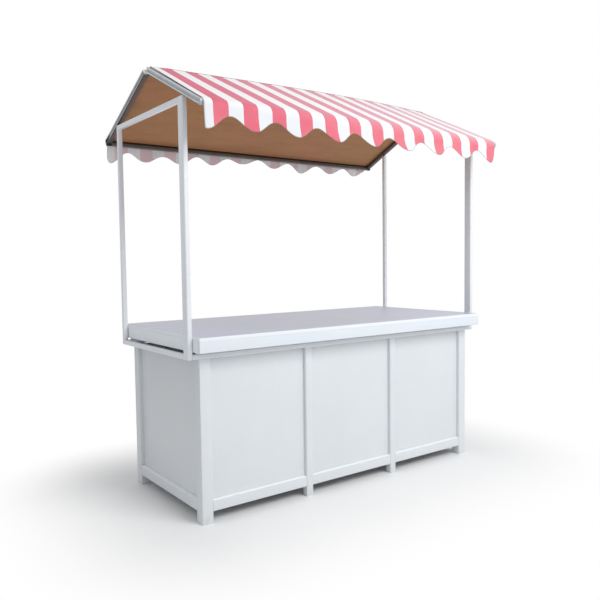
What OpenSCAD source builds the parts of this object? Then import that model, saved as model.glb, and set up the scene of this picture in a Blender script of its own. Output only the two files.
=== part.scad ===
// Market stall: a panelled timber base, a deep counter and a tube frame that carries
// a gable roof with a striped, scalloped cover.
// The length runs along X, the serving front faces -Y and the ground is at Z = 0.

/* [Base] */
// How far each end of the base stands inside the counter's end
base_inset = 37; // [0:1:150]
// How far the collar rails stand proud of the legs, front and back
collar_over = 10; // [0:1:14]
// Height of the legs
leg_h = 810; // [650:1:1000]
// Side of a square corner leg
corner_leg = 60; // [45:1:90]
// Width of a middle leg
mid_leg_w = 42; // [30:1:70]
// Depth of a middle leg
mid_leg_d = 38; // [36:1:60]
// Radius of the legs' upright edges
leg_edge_r = 3; // [1:0.5:6]
// Clear height under the bottom rails
foot_h = 56; // [30:1:120]
// Height of a bottom rail
low_rail_h = 57; // [40:1:90]
// Thickness of a bottom rail
low_rail_t = 34; // [33:1:36]
// How far a bottom rail stands behind the legs' faces
low_rail_back = 1; // [0:0.5:2]
// Thickness of a panel
panel_t = 12; // [6:1:14]
// How far a panel stands behind the legs' faces
panel_back = 19; // [12:1:20]

/* [Counter] */
// Length of the counter board
counter_l = 2000; // [1700:1:2400]
// How far the counter board reaches past the posts, front and back
counter_over = 68; // [40:1:120]
// Thickness of the counter board
board_t = 18; // [14:1:30]
// Radius of the counter board's edges
board_edge_r = 5; // [2:0.5:7]
// Height of the fascia under the board
fascia_h = 55; // [40:1:80]
// Thickness of the fascia
fascia_t = 20; // [12:1:25]
// How far the fascia stands behind the board's edge
fascia_back = 1; // [0:0.5:3]
// Shadow gap between the fascia and the rails under it
shadow_gap = 12; // [6:1:20]
// Width of a bearer that carries the board
bearer_w = 22; // [16:1:25]

/* [Canopy frame] */
// Side of the square tube
tube = 25; // [25:1:40]
// Depth of a front post
front_post_d = 50; // [25:1:70]
// Depth of the frame over its posts
frame_d = 820; // [700:1:1000]
// Height of the posts' tops over the counter
head_h = 1117; // [900:1:1300]
// Play between the counter's ends and the posts
counter_play = 1; // [0.5:0.5:3]

/* [Roof] */
// Slope of the roof in degrees
pitch = 25.5; // [18:0.5:35]
// How far the roof reaches past the posts, front and back
eave_over = 182; // [120:1:240]
// Thickness of the roof's edge frame under the boards
roof_frame_t = 24; // [20:1:40]
// Thickness of the roof boards
roof_board_t = 6; // [4:1:12]
// Width of a rake trim
rake_w = 30; // [26:1:45]
// Thickness of an eave bar along the slope
eave_bar_t = 14; // [8:1:25]
// Height of each lip on a rake trim
rake_lip = 9; // [6:1:10]
// Depth of the channel between the lips
rake_channel = 4; // [2:0.5:8]
// Diameter of the ridge bar
ridge_d = 19; // [14:1:24]
// Depth of the ridge bar's middle under the peak of the roof boards
ridge_drop = 30; // [26:1:34]
// How far the ridge bar's ends stand out of the rake trims
ridge_out = 6; // [0:1:15]
// Play round the ridge bar
ridge_play = 0.2; // [0.1:0.1:0.5]

/* [Cover] */
// Thickness of the cover as a solid
cover_t = 3; // [1:0.5:5]
// Bare strip of rake trim at the left end of the cover
left_inset = 12; // [5:1:26]
// Bare strip of rake trim at the right end of the cover
right_inset = 28; // [5:1:29]
// Drop of the front valance at its lobes
front_drop = 118; // [90:1:180]
// Drop of the back valance at its lobes
back_drop = 84; // [76:1:150]
// Height of the scallops
scallop_h = 56; // [30:1:65]
// Scallops along the front valance
front_scallops = 8.2; // [4:0.1:12]
// Scallops along the back valance
back_scallops = 8.4; // [4:0.1:12]
// Radius of the valances' lower corners
valance_corner_r = 20; // [5:1:40]
// How far the valance ends draw in towards their bottom corners
valance_draw = 12; // [0:1:25]

/* [Hidden] */
$fn = 48;

// Heights, from the ground up
low_rail_top = foot_h + low_rail_h;
collar_top = leg_h + tube;
fascia_bottom = collar_top + shadow_gap;
board_bottom = fascia_bottom + fascia_h;
post_top = board_bottom + board_t + head_h;

// Plan of the base, with its middle legs a third of the way between the corner legs
base_l = counter_l - 2 * base_inset;
base_d = frame_d - 2 * collar_over;
mid_leg_x = (base_l - corner_leg) / 6;
corner_inner_x = base_l / 2 - corner_leg;
mid_inner_x = mid_leg_x - mid_leg_w / 2;
mid_outer_x = mid_leg_x + mid_leg_w / 2;

// Plan of the counter and the tube frame
counter_d = frame_d + 2 * counter_over;
post_inner_x = counter_l / 2 + counter_play;
post_outer_x = post_inner_x + tube;
fascia_out_x = counter_l / 2 - fascia_back;
fascia_out_y = counter_d / 2 - fascia_back;

// Roof, in coordinates along a slope: u runs down from the ridge, v stands square to the slope.
// The rakes rest on the outer top edges of the posts and stop at the ridge bar.
roof_w = frame_d + 2 * eave_over;
roof_t = roof_frame_t + roof_board_t;
rake_inner_x = post_outer_x - rake_w;
ridge_z = post_top + frame_d / 2 * tan(pitch);
slope_l = (roof_w / 2 - roof_t * sin(pitch)) / cos(pitch);
cover_z = ridge_z + roof_t / cos(pitch);
cover_left_x = left_inset - post_outer_x;
cover_right_x = post_outer_x - right_inset;

// Valances, whose outer faces are flush with the cover's lower edge
valance_out_y = roof_w / 2 + cover_t;
valance_top = cover_z - valance_out_y * tan(pitch);
valance_steps = 118;

PAINTED_WOOD = "gainsboro";
PAINTED_TUBE = "white";
COUNTER_TOP = "lightgray";
TRIM = "slategray";
EAVE = "dimgray";
BOARD = "sienna";
CLOTH = "lightcoral";

// Square with round corners, its middle at the origin
module round_square(size, r) {
    square([size.x - 2 * r, size.y], center = true);
    square([size.x, size.y - 2 * r], center = true);
    for (sx = [-1, 1], sy = [-1, 1])
        translate([sx * (size.x / 2 - r), sy * (size.y / 2 - r)])
            circle(r);
}

// Box between two corners
module span(lo, hi) {
    translate(lo)
        cube(hi - lo);
}

// Outline in Y and Z, carried along X from x0 to x1
module along_x(x0, x1) {
    translate([x0, 0, 0])
        rotate([90, 0, 90])
            linear_extrude(x1 - x0)
                children();
}

// Front is -1 and back is 1: shapes are drawn for the back and mirrored to the front
module on_side(side) {
    mirror([0, side < 0 ? 1 : 0, 0])
        children();
}

// Left is -1 and right is 1: shapes are drawn for the right and mirrored to the left
module on_end(end) {
    mirror([end < 0 ? 1 : 0, 0, 0])
        children();
}

module leg(x, y, size) {
    color(PAINTED_WOOD)
        translate([x, y, 0])
            linear_extrude(leg_h)
                round_square(size, leg_edge_r);
}

module corner_leg_at(end, side) {
    leg(end * (base_l - corner_leg) / 2, side * (base_d - corner_leg) / 2, [corner_leg, corner_leg]);
}

module middle_legs(side) {
    for (end = [-1, 1])
        leg(end * mid_leg_x, side * (base_d - mid_leg_d) / 2, [mid_leg_w, mid_leg_d]);
}

// Board between two legs of a long side, from x0 to x1
module long_board(side, x0, x1, back, t, z0, z1) {
    color(PAINTED_WOOD)
        on_side(side)
            span([x0, base_d / 2 - back - t, z0], [x1, base_d / 2 - back, z1]);
}

// Board between the two corner legs of an end
module end_board(end, back, t, z0, z1) {
    inner_y = base_d / 2 - corner_leg;
    color(PAINTED_WOOD)
        on_end(end)
            span([base_l / 2 - back - t, -inner_y, z0], [base_l / 2 - back, inner_y, z1]);
}

module bottom_rails(side) {
    for (bay = [[-corner_inner_x, -mid_outer_x], [-mid_inner_x, mid_inner_x], [mid_outer_x, corner_inner_x]])
        long_board(side, bay[0], bay[1], low_rail_back, low_rail_t, foot_h, low_rail_top);
}

module end_bottom_rail(end) {
    end_board(end, low_rail_back, low_rail_t, foot_h, low_rail_top);
}

module panel(side, x0, x1) {
    long_board(side, x0, x1, panel_back, panel_t, low_rail_top, leg_h);
}

module end_panel(end) {
    end_board(end, panel_back, panel_t, low_rail_top, leg_h);
}

// Tube between the posts, on top of the legs of a long side
module long_collar_rail(side) {
    color(PAINTED_TUBE)
        on_side(side)
            span([-post_inner_x, frame_d / 2 - tube, leg_h], [post_inner_x, frame_d / 2, collar_top]);
}

// Tube between the front and back post of an end, with its top at the given height
module end_rail(end, top) {
    color(PAINTED_TUBE)
        on_end(end)
            span(
                [post_inner_x, front_post_d - frame_d / 2, top - tube],
                [post_outer_x, frame_d / 2 - tube, top]
            );
}

module post(end, side, depth) {
    color(PAINTED_TUBE)
        on_end(end)
            on_side(side)
                span([post_inner_x, frame_d / 2 - depth, leg_h], [post_outer_x, frame_d / 2, post_top]);
}

// Battens on the collar rails, hidden behind the fascia
module counter_bearers() {
    bearer_x = fascia_out_x - fascia_t;
    bearer_y = (frame_d - tube) / 2;
    color(PAINTED_WOOD)
        for (side = [-1, 1])
            on_side(side)
                span(
                    [-bearer_x, bearer_y - bearer_w / 2, collar_top],
                    [bearer_x, bearer_y + bearer_w / 2, board_bottom]
                );
}

module long_fascias() {
    color(PAINTED_WOOD)
        for (side = [-1, 1])
            on_side(side)
                span(
                    [-fascia_out_x, fascia_out_y - fascia_t, fascia_bottom],
                    [fascia_out_x, fascia_out_y, board_bottom]
                );
}

module end_fascias() {
    inner_y = fascia_out_y - fascia_t;
    color(PAINTED_WOOD)
        for (end = [-1, 1])
            on_end(end)
                span(
                    [fascia_out_x - fascia_t, -inner_y, fascia_bottom],
                    [fascia_out_x, inner_y, board_bottom]
                );
}

// Board with all its long and short edges rounded: two rounded bars, one along X and one along Y,
// keep only what they share
module counter_board() {
    color(COUNTER_TOP)
        translate([0, 0, board_bottom + board_t / 2])
            intersection() {
                along_x(-counter_l / 2, counter_l / 2)
                    round_square([counter_d, board_t], board_edge_r);
                rotate([0, 0, 90])
                    along_x(-counter_d / 2, counter_d / 2)
                        round_square([counter_l, board_t], board_edge_r);
            }
}

// Coordinates along the back slope, mirrored for the front
module on_slope(side) {
    on_side(side)
        translate([0, 0, ridge_z])
            rotate([-pitch, 0, 0])
                children();
}

// Where a piece at height v over the slope stops on a plumb cut, at a distance from the ridge
function ridge_cut(v, clear) = (clear - v * sin(pitch)) / cos(pitch);

// Outline between two heights over the slope, cut plumb near the ridge and square at u1
module slope_band(u1, v0, v1, clear) {
    polygon([[ridge_cut(v0, clear), v0], [u1, v0], [u1, v1], [ridge_cut(v1, clear), v1]]);
}

// Rolled edge trim: two lips with a channel between them on the outer face
module rake(end, side) {
    rake_l = slope_l - eave_bar_t;
    clear = ridge_d / 2 + ridge_play;
    color(TRIM)
        on_end(end)
            on_slope(side) {
                along_x(rake_inner_x, post_outer_x)
                    slope_band(rake_l, 0, rake_lip, clear);
                along_x(rake_inner_x, post_outer_x - rake_channel)
                    slope_band(rake_l, rake_lip, roof_t - rake_lip, clear);
                along_x(rake_inner_x, post_outer_x)
                    slope_band(rake_l, roof_t - rake_lip, roof_t, clear);
            }
}

module eave_bar(side) {
    color(EAVE)
        on_slope(side)
            span([-post_outer_x, slope_l - eave_bar_t, 0], [post_outer_x, slope_l, roof_t]);
}

// Round bar under the ridge, held between the ends of the rakes
module ridge_bar() {
    bar_x = post_outer_x + ridge_out;
    color(TRIM)
        translate([-bar_x, 0, cover_z - ridge_drop])
            rotate([0, 90, 0])
                cylinder(h = 2 * bar_x, d = ridge_d);
}

module roof_board(side) {
    color(BOARD)
        on_slope(side)
            along_x(-rake_inner_x, rake_inner_x)
                slope_band(slope_l - eave_bar_t, roof_frame_t, roof_t, ridge_play);
}

// Cloth on a slope, cut plumb at the ridge and at the outer face of the valance
module cover(side) {
    outer_z = cover_z + cover_t / cos(pitch);
    fall = valance_out_y * tan(pitch);
    color(CLOTH)
        on_side(side)
            along_x(cover_left_x, cover_right_x)
                polygon([
                    [0, cover_z],
                    [valance_out_y, cover_z - fall],
                    [valance_out_y, outer_z - fall],
                    [0, outer_z]
                ]);
}

// How far a round corner lifts an edge, at a distance d from the end
function corner_rise(d) =
    d < valance_corner_r ? valance_corner_r - sqrt(valance_corner_r ^ 2 - (valance_corner_r - d) ^ 2) : 0;

// Lower edge of a valance, from a lobe at its left end, with s from 0 there to 1 at the right end
function scallop_edge(s, drop, scallops, edge_l) =
    valance_top - drop
    + scallop_h * (1 - cos(360 * scallops * s)) / 2
    + max(corner_rise(s * edge_l), corner_rise((1 - s) * edge_l));

module valance(side, drop, scallops) {
    left_x = cover_left_x + valance_draw;
    edge_l = cover_right_x - valance_draw - left_x;
    color(CLOTH)
        on_side(side)
            translate([0, valance_out_y, 0])
                rotate([90, 0, 0])
                    linear_extrude(cover_t)
                        polygon([
                            [cover_right_x, valance_top],
                            [cover_left_x, valance_top],
                            for (i = [0 : valance_steps])
                                let (s = i / valance_steps)
                                [left_x + s * edge_l, scallop_edge(s, drop, scallops, edge_l)]
                        ]);
}

corner_leg_at(-1, -1);  // front_left_leg
corner_leg_at(1, -1);  // front_right_leg
corner_leg_at(-1, 1);  // back_left_leg
corner_leg_at(1, 1);  // back_right_leg
middle_legs(-1);  // front_middle_legs
middle_legs(1);  // back_middle_legs
bottom_rails(-1);  // front_bottom_rails
bottom_rails(1);  // back_bottom_rails
end_bottom_rail(-1);  // left_bottom_rail
end_bottom_rail(1);  // right_bottom_rail
panel(-1, -corner_inner_x, -mid_outer_x);  // front_left_panel
panel(-1, -mid_inner_x, mid_inner_x);  // front_middle_panel
panel(-1, mid_outer_x, corner_inner_x);  // front_right_panel
panel(1, -corner_inner_x, -mid_outer_x);  // back_left_panel
panel(1, -mid_inner_x, mid_inner_x);  // back_middle_panel
panel(1, mid_outer_x, corner_inner_x);  // back_right_panel
end_panel(-1);  // left_panel
end_panel(1);  // right_panel
long_collar_rail(-1);  // front_collar_rail
long_collar_rail(1);  // back_collar_rail
end_rail(-1, collar_top);  // left_collar_rail
end_rail(1, collar_top);  // right_collar_rail
counter_bearers();
long_fascias();
end_fascias();
counter_board();
post(-1, -1, front_post_d);  // front_left_post
post(1, -1, front_post_d);  // front_right_post
post(-1, 1, tube);  // back_left_post
post(1, 1, tube);  // back_right_post
end_rail(-1, post_top);  // left_top_rail
rake(-1, -1);  // front_left_rake
rake(1, -1);  // front_right_rake
rake(-1, 1);  // back_left_rake
rake(1, 1);  // back_right_rake
eave_bar(-1);  // front_eave_bar
eave_bar(1);  // back_eave_bar
ridge_bar();
roof_board(-1);  // front_roof_board
roof_board(1);  // back_roof_board
cover(-1);  // front_cover
cover(1);  // back_cover
valance(-1, front_drop, front_scallops);  // front_valance
valance(1, back_drop, back_scallops);  // back_valance
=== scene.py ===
# %% [markdown]
# # A market stall with a striped roof
#
# The stall is a white panelled box on legs, a deep counter, a slim white tube frame and a gable roof under a
# striped, scalloped cloth. The packed model fixes where everything is. This lesson dresses it: each hard piece
# gets the soft edges that a saw, sandpaper and paint leave, the roof gets its rolled metal trim, and the cloth
# is laid over it as one sheet.

# %% Load the frame
import math

import bpy
import numpy as np
from mathutils import Matrix, Vector


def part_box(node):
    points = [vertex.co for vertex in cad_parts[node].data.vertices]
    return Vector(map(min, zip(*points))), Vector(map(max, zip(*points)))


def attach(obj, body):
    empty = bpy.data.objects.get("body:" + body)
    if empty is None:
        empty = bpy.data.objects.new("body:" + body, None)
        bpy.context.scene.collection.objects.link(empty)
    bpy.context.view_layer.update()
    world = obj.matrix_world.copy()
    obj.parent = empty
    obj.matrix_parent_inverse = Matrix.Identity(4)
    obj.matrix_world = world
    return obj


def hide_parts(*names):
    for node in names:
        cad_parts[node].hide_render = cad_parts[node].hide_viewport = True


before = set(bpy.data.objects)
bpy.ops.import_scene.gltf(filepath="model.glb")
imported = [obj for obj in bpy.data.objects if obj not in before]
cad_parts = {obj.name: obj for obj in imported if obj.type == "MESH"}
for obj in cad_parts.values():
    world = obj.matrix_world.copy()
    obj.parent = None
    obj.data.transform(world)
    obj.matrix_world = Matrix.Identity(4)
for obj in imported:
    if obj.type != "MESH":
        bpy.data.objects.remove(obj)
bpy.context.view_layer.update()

# %% [markdown]
# ## Sizes that the frame does not spell out
#
# Most places come from the boxes of the packed nodes. The roof is tilted, so its slope, its thickness and the
# line of its underside are named here once, in metres, and everything on the roof is worked out from them.

# %% Roof sizes
MM = 0.001
PITCH = math.radians(25.5)
ROOF_T = 30 * MM
EAVE_BAR_T = 14 * MM
RAKE_W = 30 * MM

post_lo, post_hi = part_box("front_left_post")
eave_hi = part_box("back_eave_bar")[1]
FRAME_HALF_D = -post_lo.y
POST_TOP = post_hi.z
ROOF_HALF_D = eave_hi.y
ROOF_HALF_L = eave_hi.x
INNER_HALF_L = ROOF_HALF_L - RAKE_W
RIDGE_Z = POST_TOP + FRAME_HALF_D * math.tan(PITCH)
SLOPE_L = (ROOF_HALF_D - ROOF_T * math.sin(PITCH)) / math.cos(PITCH)
EAVE_INNER = SLOPE_L - EAVE_BAR_T
print(f"roof: half length {ROOF_HALF_L:.3f}, half depth {ROOF_HALF_D:.3f}, slope {SLOPE_L:.3f} m")

# %% [markdown]
# ## Meshes from grids
#
# Almost every piece here is a profile carried along a path: a loop of points, repeated ring after ring. A few
# helpers turn such a grid of points into a mesh, so the shapes themselves can be plain numpy formulas.

# %% Grid helpers
SHARP = math.radians(50)


def grid_points(x, y, z):
    """One grid of points (rings, points, 3) from three arrays that broadcast together."""
    return np.stack(np.broadcast_arrays(x, y, z), axis=-1)


def grid_faces(rings, points, wrap, first=0):
    """Quads between neighbouring rings: corner (i, j) joins (i, j + 1), (i + 1, j + 1) and (i + 1, j).
    wrap closes each ring on itself."""
    i, j = np.meshgrid(np.arange(rings - 1), np.arange(points if wrap else points - 1), indexing="ij")
    k = (j + 1) % points
    quads = np.stack([i * points + j, i * points + k, (i + 1) * points + k, (i + 1) * points + j], axis=-1)
    return (quads.reshape(-1, 4) + first).tolist()


def closed_faces(rings, points, first=0):
    """Quads between rings that close on themselves, and a flat cap on the first and on the last ring."""
    last = first + (rings - 1) * points
    caps = [list(range(first + points - 1, first - 1, -1)), list(range(last, last + points))]
    return grid_faces(rings, points, True, first) + caps


def new_piece(name, grid, faces, **fields):
    """A smooth mesh object at the origin, with one number a point for each named field."""
    mesh = bpy.data.meshes.new(name)
    mesh.from_pydata(np.reshape(grid, (-1, 3)).tolist(), [], faces)
    mesh.update()
    mesh.polygons.foreach_set("use_smooth", np.full(len(mesh.polygons), True))
    for field, values in fields.items():
        stored = mesh.attributes.new(field, "FLOAT", "POINT")
        stored.data.foreach_set("value", np.ravel(values).astype(np.float32))
    piece = bpy.data.objects.new(name, mesh)
    bpy.context.scene.collection.objects.link(piece)
    return piece


def dress(piece, finish, slot, *nodes):
    """Gives a piece its finish, lets it ride on the stall and stand for its packed nodes."""
    piece.data.materials.append(finish)
    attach(piece, "root")
    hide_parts(*nodes)


print("a grid of 3 rings of 4 points has", len(grid_faces(3, 4, True)), "quads")

# %% [markdown]
# ## The camera
#
# The photograph was taken from beyond the front left corner, at about chest height. The numbers come from
# fitting the stall's corners to the picture: the way the camera looks, a slight tilt, and a lens that sees about
# as wide as a 39 mm one.

# %% Camera
YAW, DOWN, ROLL = (math.radians(a) for a in (36.274, 3.478, -0.748))
CAMERA_AT = (-2.3918, -3.1630, 1.2732)
LENS_MM, SENSOR_MM = 39.09, 36.0

ahead = np.array([math.sin(YAW) * math.cos(DOWN), math.cos(YAW) * math.cos(DOWN), -math.sin(DOWN)])
level = np.array([math.cos(YAW), -math.sin(YAW), 0.0])
upright = np.cross(level, ahead)
right = math.cos(ROLL) * level + math.sin(ROLL) * upright
up = math.cos(ROLL) * upright - math.sin(ROLL) * level

lens = bpy.data.cameras.new("camera")
lens.lens = LENS_MM
lens.sensor_width = SENSOR_MM
lens.sensor_fit = "HORIZONTAL"
camera = bpy.data.objects.new("camera", lens)
turn = np.column_stack([right, up, -ahead])
camera.matrix_world = Matrix.Translation(CAMERA_AT) @ Matrix(turn.tolist()).to_4x4()
bpy.context.scene.collection.objects.link(camera)
bpy.context.scene.camera = camera
print("camera at", CAMERA_AT)

# %% [markdown]
# ## Shader maths as Python
#
# A finish is easier to read as sums and products than as a web of nodes. This small class wraps one socket. Its
# operators add Math nodes, and `add` makes any other node: settings first, then what goes into its sockets.

# %% Field class


class Field:
    """A value that changes over a surface: one socket in a material's node tree."""

    def __init__(self, tree, socket):
        self.tree, self.socket = tree, socket

    def add(self, kind, settings=None, values=None, out=0):
        """A new node of that kind: its settings, then a value or a link for each socket named."""
        node = self.tree.nodes.new("ShaderNode" + kind)
        for key, value in (settings or {}).items():
            setattr(node, key, value)
        for key, value in (values or {}).items():
            if isinstance(value, Field):
                self.tree.links.new(value.socket, node.inputs[key])
            else:
                node.inputs[key].default_value = value
        return Field(self.tree, node.outputs[out])

    def math(self, operation, *others):
        """A Math node with this field first."""
        return self.add("Math", {"operation": operation}, dict(enumerate((self, *others))))

    def reflected(self, operation, other):
        """A Math node with this field second, for a number on the left."""
        return self.add("Math", {"operation": operation}, {0: other, 1: self})

    def __add__(self, other):
        return self.math("ADD", other)

    __radd__ = __add__

    def __sub__(self, other):
        return self.math("SUBTRACT", other)

    def __rsub__(self, other):
        return self.reflected("SUBTRACT", other)

    def __mul__(self, other):
        return self.math("MULTIPLY", other)

    __rmul__ = __mul__

    def __truediv__(self, other):
        return self.math("DIVIDE", other)

    def __rtruediv__(self, other):
        return self.reflected("DIVIDE", other)

    def __mod__(self, other):
        return self.math("FLOORED_MODULO", other)

    def __rmod__(self, other):
        return self.reflected("FLOORED_MODULO", other)

    def clip(self):
        """Held between 0 and 1."""
        return self.add("Clamp", values={0: self})

    def step(self, low, high):
        """0 below low, 1 above high and a soft rise between them. With low over high it falls instead."""
        return self.add(
            "MapRange",
            {"interpolation_type": "SMOOTHSTEP"},
            {0: self, 1: min(low, high), 2: max(low, high), 3: float(low > high), 4: float(low < high)},
        )

    def stretch(self, x, y, z):
        """Coordinates scaled along each axis."""
        return self.add("VectorMath", {"operation": "MULTIPLY"}, {0: self, 1: (x, y, z)})

    def noise(self, scale, detail=2.0, rough=0.5):
        """Soft random waves, about scale of them to a metre."""
        sockets = {"Vector": self, "Scale": scale, "Detail": detail, "Roughness": rough}
        return self.add("TexNoise", values=sockets)

    def blend(self, low, high):
        """Colour low where the field is 0 and colour high where it is 1."""
        low, high = (c if isinstance(c, Field) else (*c, 1.0) for c in (low, high))
        return self.add("Mix", {"data_type": "RGBA"}, {0: self, 6: low, 7: high}, out=2)

    def named(self, field):
        """A field stored on the piece's points."""
        return self.add("Attribute", {"attribute_name": field}, out="Fac")

    def part(self, axis):
        """One coordinate, X, Y or Z."""
        return self.add("SeparateXYZ", values={0: self}, out="XYZ".index(axis))


print("a field can:", [name for name in vars(Field) if not name.startswith("_")])

# %% [markdown]
# Every finish starts the same way: a Principled shader, constants set on its own sockets, and the piece's own
# coordinates as the first field. Paint is never one flat colour, so each paint also has a slightly dimmer twin.

# %% Finish helpers


def new_finish(name, **constants):
    """An empty material: the material, its shader, and the piece's own coordinates as a first field."""
    material = bpy.data.materials.new(name)
    material.use_nodes = True
    tree = material.node_tree
    tree.nodes.clear()
    shader = tree.nodes.new("ShaderNodeBsdfPrincipled")
    tree.links.new(shader.outputs[0], tree.nodes.new("ShaderNodeOutputMaterial").inputs[0])
    for socket, value in constants.items():
        shader.inputs[socket.replace("_", " ")].default_value = value
    return material, shader, Field(tree, tree.nodes.new("ShaderNodeTexCoord").outputs["Object"])


def plug(shader, socket, field):
    """Links a field to one of the shader's sockets."""
    field.tree.links.new(field.socket, shader.inputs[socket])


def plug_bump(shader, height, depth):
    """Raises the surface by up to depth metres where the height field is 1."""
    plug(shader, "Normal", height.add("Bump", values={"Strength": 1.0, "Distance": depth, "Height": height}))


def dim(colour, share):
    """The same colour with only that share of its light."""
    return tuple(share * c for c in colour)


print("half of white is", dim((1.0, 1.0, 1.0), 0.5))

# %% [markdown]
# ## White paint on timber and board
#
# The base is softwood and board under a satin white paint. From close up such paint is never one colour: the
# grain swells a little under it, the roller leaves a fine peel, and handling leaves faint clouds. The grain
# follows each piece, so the finish is made once for every direction a piece can run in. Thin paint on worked
# edges and splashes near the ground come from a stored edge field and from the height. The fascias' paint is
# lighter than the panels', partly as painted light and on the end fascias wholly, and the tops of the bottom
# rails get a painted highlight.

# %% Painted timber
PAINT = (0.745, 0.775, 0.800)
# The long fascias' paint is whiter than the panels' and partly painted light; the end fascias' lighter paint is
# painted light.
EDGE_PAINT_PARTLY_LIT = (0.780, 0.825, 0.880)
END_PAINT_LIT = (0.890, 0.930, 0.970)
# Painted highlight for the tops of the bottom rails.
LEDGE_HIGHLIGHT = (0.940, 0.965, 0.970)
PAINT_THIN = (0.700, 0.715, 0.705)
SPLASH = (0.560, 0.565, 0.540)
PAINT_DIM = 0.965
GRAIN_ALONG, GRAIN_ACROSS = 5.0, 130.0
SPLASH_H = 70 * MM
LEDGE_FROM, LEDGE_FULL = 4 * MM, 1.5 * MM
NO_LEDGE = 9.0


def painted_timber(name, along, grain_depth, paint=PAINT, ledge_z=NO_LEDGE):
    """Satin white paint. The grain runs along the named axis: 5 waves a metre that way and 130 across.
    A rail's top, at the height ledge_z, gets a painted highlight."""
    finish, shader, place = new_finish(name, Specular_IOR_Level=0.42)
    height = place.part("Z")
    grain = place.stretch(*(GRAIN_ALONG if axis == along else GRAIN_ACROSS for axis in "XYZ"))
    grain = grain.noise(1.0, 3.0, 0.6)
    clouds = place.noise(2.6, 3.0, 0.55)
    peel = place.noise(520.0, 1.0)
    worn = place.named("edge") * place.noise(28.0, 2.0).step(0.52, 0.70) * 0.55
    splash = height.step(SPLASH_H, 0.0) * place.noise(36.0, 3.0).step(0.40, 0.75) * 0.45
    tone = (0.35 * grain + 0.65 * clouds).step(0.30, 0.72)
    colour = tone.blend(dim(paint, PAINT_DIM), paint)
    # Painted highlight: the top of a rail is lighter, as where light falls on the ledge.
    colour = height.step(ledge_z - LEDGE_FROM, ledge_z - LEDGE_FULL).blend(colour, LEDGE_HIGHLIGHT)
    colour = splash.blend(worn.blend(colour, PAINT_THIN), SPLASH)
    plug(shader, "Base Color", colour)
    plug(shader, "Roughness", 0.34 + 0.10 * clouds + 0.08 * grain + 0.12 * splash)
    plug_bump(shader, 0.6 * grain + 0.4 * peel, grain_depth)
    return finish


painted = {axis: painted_timber(f"painted_timber_{axis.lower()}", axis, 0.35 * MM) for axis in "XZ"}
painted_panel = painted_timber("painted_panel", "Z", 0.18 * MM)
# Painted light: the fascias are lighter than the panels, the end fascias most.
painted_edge = painted_timber("painted_edge", "X", 0.25 * MM, EDGE_PAINT_PARTLY_LIT)
painted_end = painted_timber("painted_end", "Y", 0.25 * MM, END_PAINT_LIT)
rail_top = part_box("front_bottom_rails")[1].z
painted_rail = {
    axis: painted_timber(f"painted_rail_{axis.lower()}", axis, 0.3 * MM, PAINT, rail_top) for axis in "XY"
}
print("finishes:", [m.name for m in bpy.data.materials if m.name.startswith("painted")])

# %% [markdown]
# ## Bars with eased edges
#
# A leg, a rail or a tube is a rounded rectangle carried along a straight line. A sharp edge never catches the
# light the way a real one does, so the section's corners are arcs, and the last few rings shrink along a
# quarter circle, which rounds the ends too. One formula then serves every straight piece of the stall.

# %% Bar functions
ARC = 5
END_ANGLES = np.radians(np.linspace(72.0, 0.0, 4))


def bar_grid(lo, hi, along, edge_r):
    """Points of a bar between two corners, and how far each lies on an edge, from 0 to 1.

    Section: corner centre + r cos f * (cos a, sin a), with a quarter turn of a for each corner, whose radius
    r is edge_r or its own of four. Ends: at angle f the ring has moved r * (sin 72 deg - sin f) along the
    bar."""
    lo, hi = np.asarray(lo), np.asarray(hi)
    axis = "XYZ".index(along)
    a, b = (axis + 1) % 3, (axis + 2) % 3
    half = (hi - lo) / 2
    turn = (np.arange(4)[:, None] * 90.0 + np.linspace(0.0, 90.0, ARC)).ravel()
    cos, sin = np.cos(np.radians(turn)), np.sin(np.radians(turn))
    quarter = np.repeat(np.arange(4), ARC)
    side_a, side_b = np.array([1, -1, -1, 1])[quarter], np.array([1, 1, -1, -1])[quarter]
    corner_r = np.broadcast_to(edge_r, 4)[quarter]
    travel = np.max(edge_r) * (np.sin(END_ANGLES[0]) - np.sin(END_ANGLES))
    shrink = np.cos(np.concatenate([END_ANGLES, END_ANGLES[::-1]]))[:, None]
    travel = np.concatenate([travel - half[axis], half[axis] - travel[::-1]])[:, None]
    grid = np.empty((len(shrink), len(turn), 3))
    grid[..., axis] = travel
    grid[..., a] = side_a * (half[a] - corner_r) + corner_r * shrink * cos
    grid[..., b] = side_b * (half[b] - corner_r) + corner_r * shrink * sin
    edge = np.minimum(1.0, np.abs(np.sin(np.radians(2.0 * turn))) + 1.0 - shrink)
    return grid + (lo + hi) / 2, edge


def bars(name, blocks, along, edge_r):
    """One piece from several bars: their rings one after another, each closed by a flat cap at both ends."""
    grids, faces, edges = [], [], []
    for lo, hi in blocks:
        grid, edge = bar_grid(lo, hi, along, edge_r)
        faces += closed_faces(*edge.shape, first=len(grids) * edge.size)
        grids.append(grid)
        edges.append(edge)
    piece = new_piece(name, grids, faces, edge=edges)
    piece.data.set_sharp_from_angle(angle=SHARP)
    return piece


def timber(node, along, edge_r, finish, blocks=None):
    """A painted piece for one packed node: bars between the corners given, or one bar that fills its box."""
    piece = bars(f"{node}_painted", blocks or [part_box(node)], along, edge_r)
    dress(piece, finish, "painted_wood", node)


print("a bar has", 2 * len(END_ANGLES), "rings of", 4 * ARC, "points")

# %% [markdown]
# ## Legs
#
# Four square posts stand at the corners and a slimmer one between each pair of panels. They reach a hand's
# width below the rails, so they read as feet. The middle legs fill the space between two panels, so their
# places come from the panels' boxes.

# %% Legs
LEG_EASE = 3.5 * MM
CORNERS = ["front_left", "front_right", "back_left", "back_right"]
BAYS = ("left", "middle", "right")

for corner in CORNERS:
    timber(f"{corner}_leg", "Z", LEG_EASE, painted["Z"])

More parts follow.
